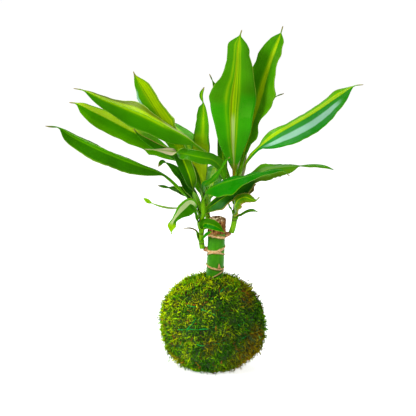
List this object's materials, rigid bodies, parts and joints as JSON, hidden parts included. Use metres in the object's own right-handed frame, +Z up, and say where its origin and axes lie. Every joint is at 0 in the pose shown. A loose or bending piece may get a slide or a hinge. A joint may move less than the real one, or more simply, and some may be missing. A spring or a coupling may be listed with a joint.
{
  "type": "kokedama moss ball plant",
  "caption": "Corn plant on a cut green cane with leafy shoots, rooted in a ball of soil wrapped in moss and bound with thread; it rests on a small flat spot.",
  "frame": {"origin": "middle of the small flat spot that the moss ball rests on", "axes": "+Z up along the plant's height, +Y away from the viewer of its front, +X to the right of that view"},
  "size_m": [0.4081, 0.2102, 0.4591],
  "materials": {
    "moss": "matte",
    "soil": "matte",
    "cane": "gloss",
    "stem": "satin",
    "leaf": "gloss",
    "thread": "matte"
  },
  "bodies": {
    "root": {"moss": "moss", "soil": "soil", "binding_thread": "thread", "cane": "cane", "stem_left": "stem", "stem_right": "stem", "stem_back": "stem", "leaf_left_sprig": "leaf", "leaf_left_tiny": "leaf", "leaf_left_flap": "leaf", "leaf_left_curl": "leaf", "leaf_left_ribbon": "leaf", "leaf_left_bow": "leaf", "leaf_left_small": "leaf", "leaf_left_reach": "leaf", "leaf_left_long": "leaf", "leaf_left_dark": "leaf", "leaf_left_strap": "leaf", "leaf_right_sprig": "leaf", "leaf_right_crook": "leaf", "leaf_right_ragged": "leaf", "leaf_right_low": "leaf", "leaf_right_left": "leaf", "leaf_right_out": "leaf", "leaf_right_rear": "leaf", "leaf_right_far": "leaf", "leaf_right_behind": "leaf", "leaf_right_hook": "leaf", "leaf_right_back_tall": "leaf", "leaf_right_tall": "leaf", "leaf_back_rear": "leaf", "leaf_back_lean": "leaf", "leaf_back_twist": "leaf", "leaf_back_shade": "leaf", "leaf_back_left": "leaf", "leaf_back_upright": "leaf"}
  },
  "joints": []
}
